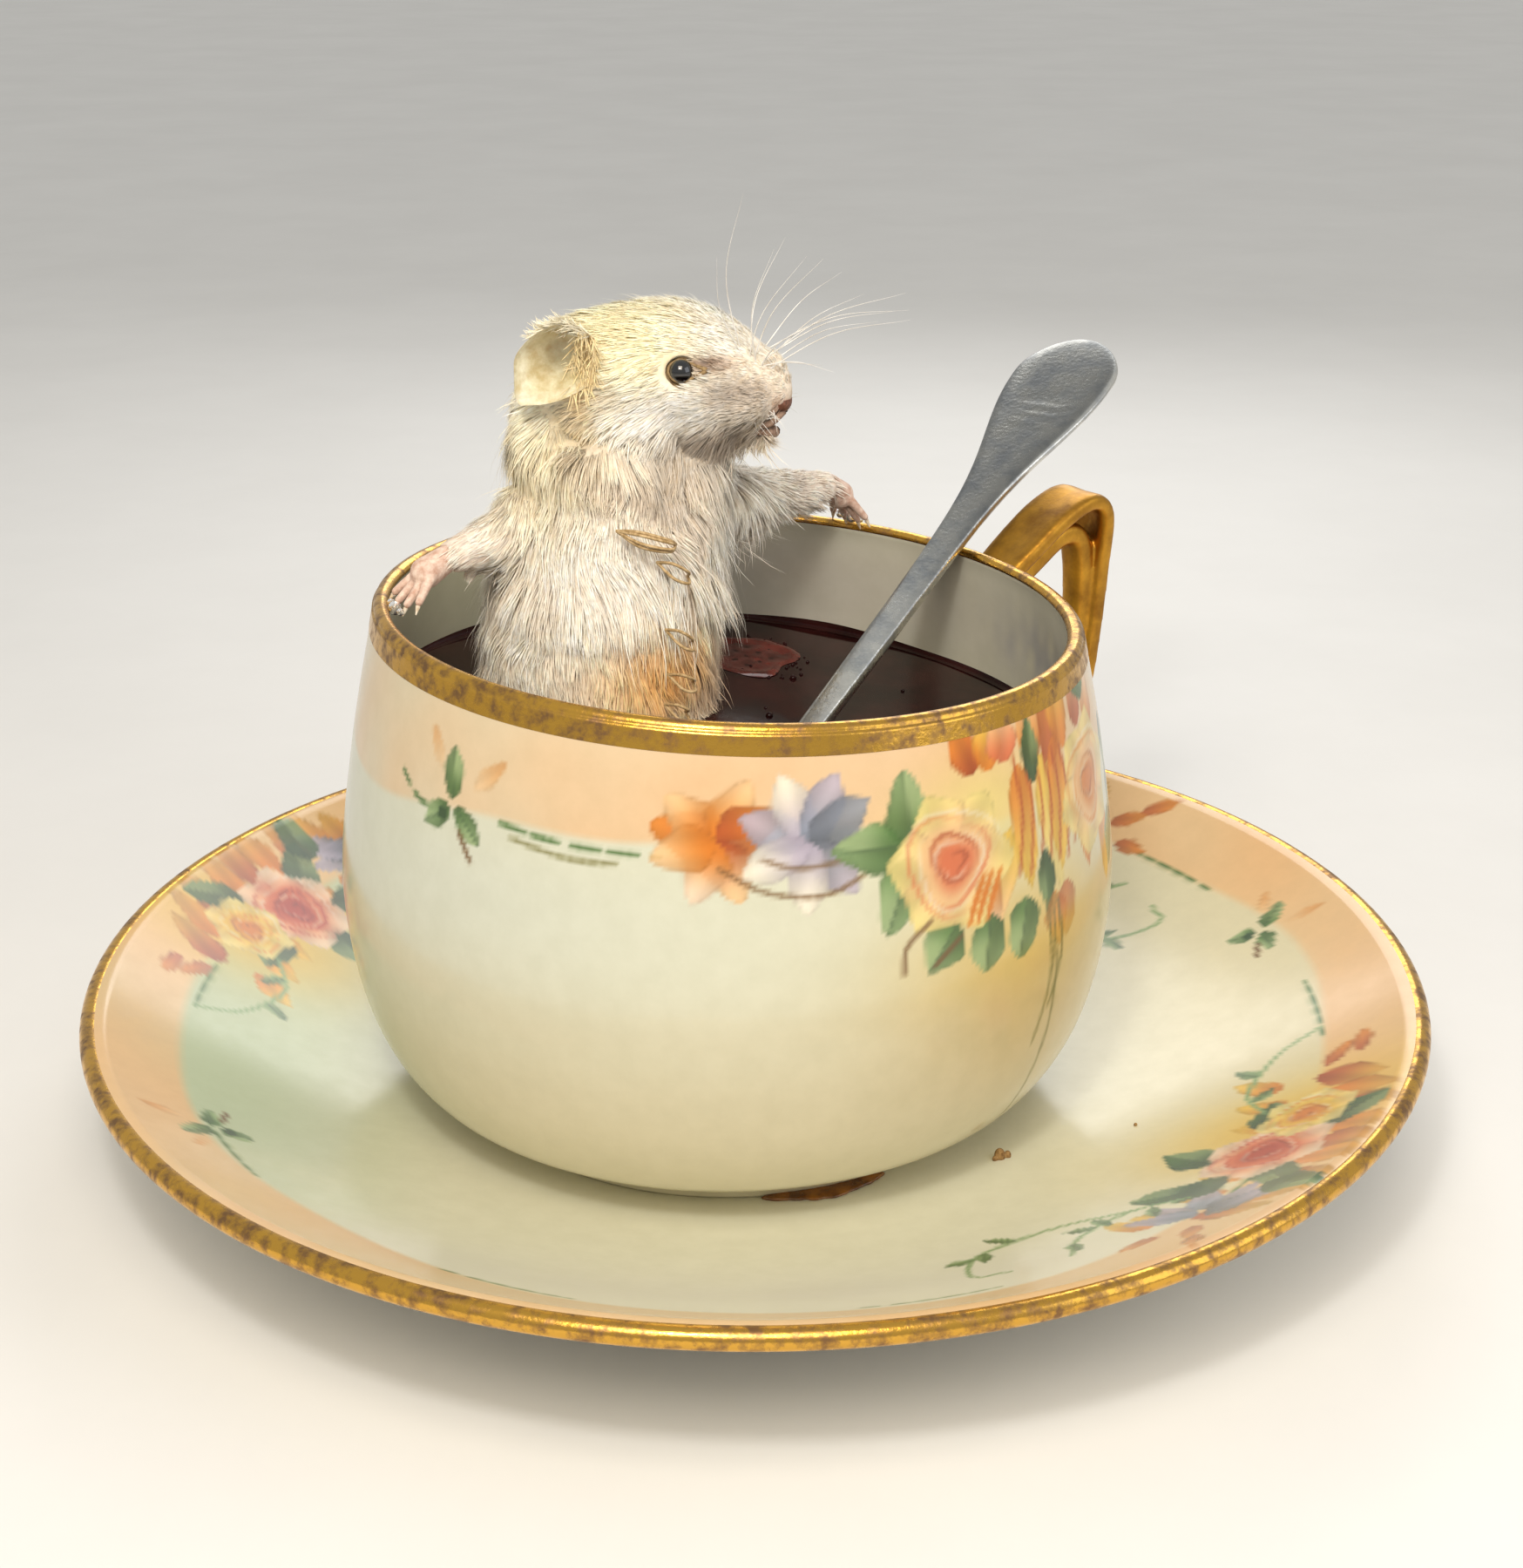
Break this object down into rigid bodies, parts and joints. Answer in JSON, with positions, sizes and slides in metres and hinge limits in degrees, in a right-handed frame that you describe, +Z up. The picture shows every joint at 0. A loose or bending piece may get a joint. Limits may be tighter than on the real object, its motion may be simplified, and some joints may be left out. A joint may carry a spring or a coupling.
{
  "type": "mounted mouse in a teacup",
  "caption": "Taxidermy mouse leaning out of a flowered porcelain cup of set resin tea, with a teaspoon leaning on the rim and a matching saucer.",
  "frame": {"origin": "centre of the saucer at the plane that its foot ring stands on", "axes": "+Z up, +X towards the cup's handle side, -Y towards the viewer"},
  "size_m": [0.15, 0.15, 0.1033],
  "materials": {
    "porcelain_saucer": "glazed porcelain with painted flowers and a gilt rim",
    "porcelain_cup": "glazed porcelain with painted flowers and a gilt rim",
    "gilding": "matt burnished gilding over glaze",
    "amber_resin": "clear amber cast resin",
    "silver_plate": "tarnished silver plate",
    "tea_resin": "dark red-brown cast resin, glossy",
    "wood_wool": "tightly wound wood wool",
    "steel_wire": "galvanised wire",
    "fur": "tanned hide with short cream fur",
    "ear_skin": "thin dried ear skin, faint down",
    "eye_glass": "black glass bead",
    "modelling_clay": "hardened modelling clay",
    "nose_skin": "dried nose leather",
    "paw_skin": "dried pinkish skin with thin fur",
    "claw_horn": "translucent claw horn",
    "whisker_hair": "stiff whisker hair",
    "linen_thread": "waxed linen thread",
    "clear_glue": "clear glue drop"
  },
  "bodies": {
    "saucer_base": {"saucer": "porcelain_saucer", "spilled_resin": "amber_resin"},
    "cup_group": {"cup": "porcelain_cup", "cup_handle": "gilding", "teaspoon": "silver_plate", "tea_fill": "tea_resin", "body_form": "wood_wool", "head_form": "wood_wool", "spine_wire": "steel_wire", "foreleg_wire_left": "steel_wire", "foreleg_wire_right": "steel_wire", "anchor_wire_left": "steel_wire", "anchor_wire_right": "steel_wire", "torso_hide": "fur", "head_hide": "fur", "foreleg_hide_left": "fur", "foreleg_hide_right": "fur", "ear_left": "ear_skin", "ear_right": "ear_skin", "eye_left": "eye_glass", "eye_right": "eye_glass", "eye_clay_left": "modelling_clay", "eye_clay_right": "modelling_clay", "nose": "nose_skin", "paw_left": "paw_skin", "paw_right": "paw_skin", "claws_left": "claw_horn", "claws_right": "claw_horn", "whiskers_left": "whisker_hair", "whiskers_right": "whisker_hair", "seam_stitches": "linen_thread", "paw_glue_left": "clear_glue", "paw_glue_right": "clear_glue"}
  },
  "joints": [
    {"name": "cup_lift", "type": "slide", "parent": "saucer_base", "child": "cup_group", "axis": [0, 0, 1], "range_m": [0, 0.05]}
  ]
}
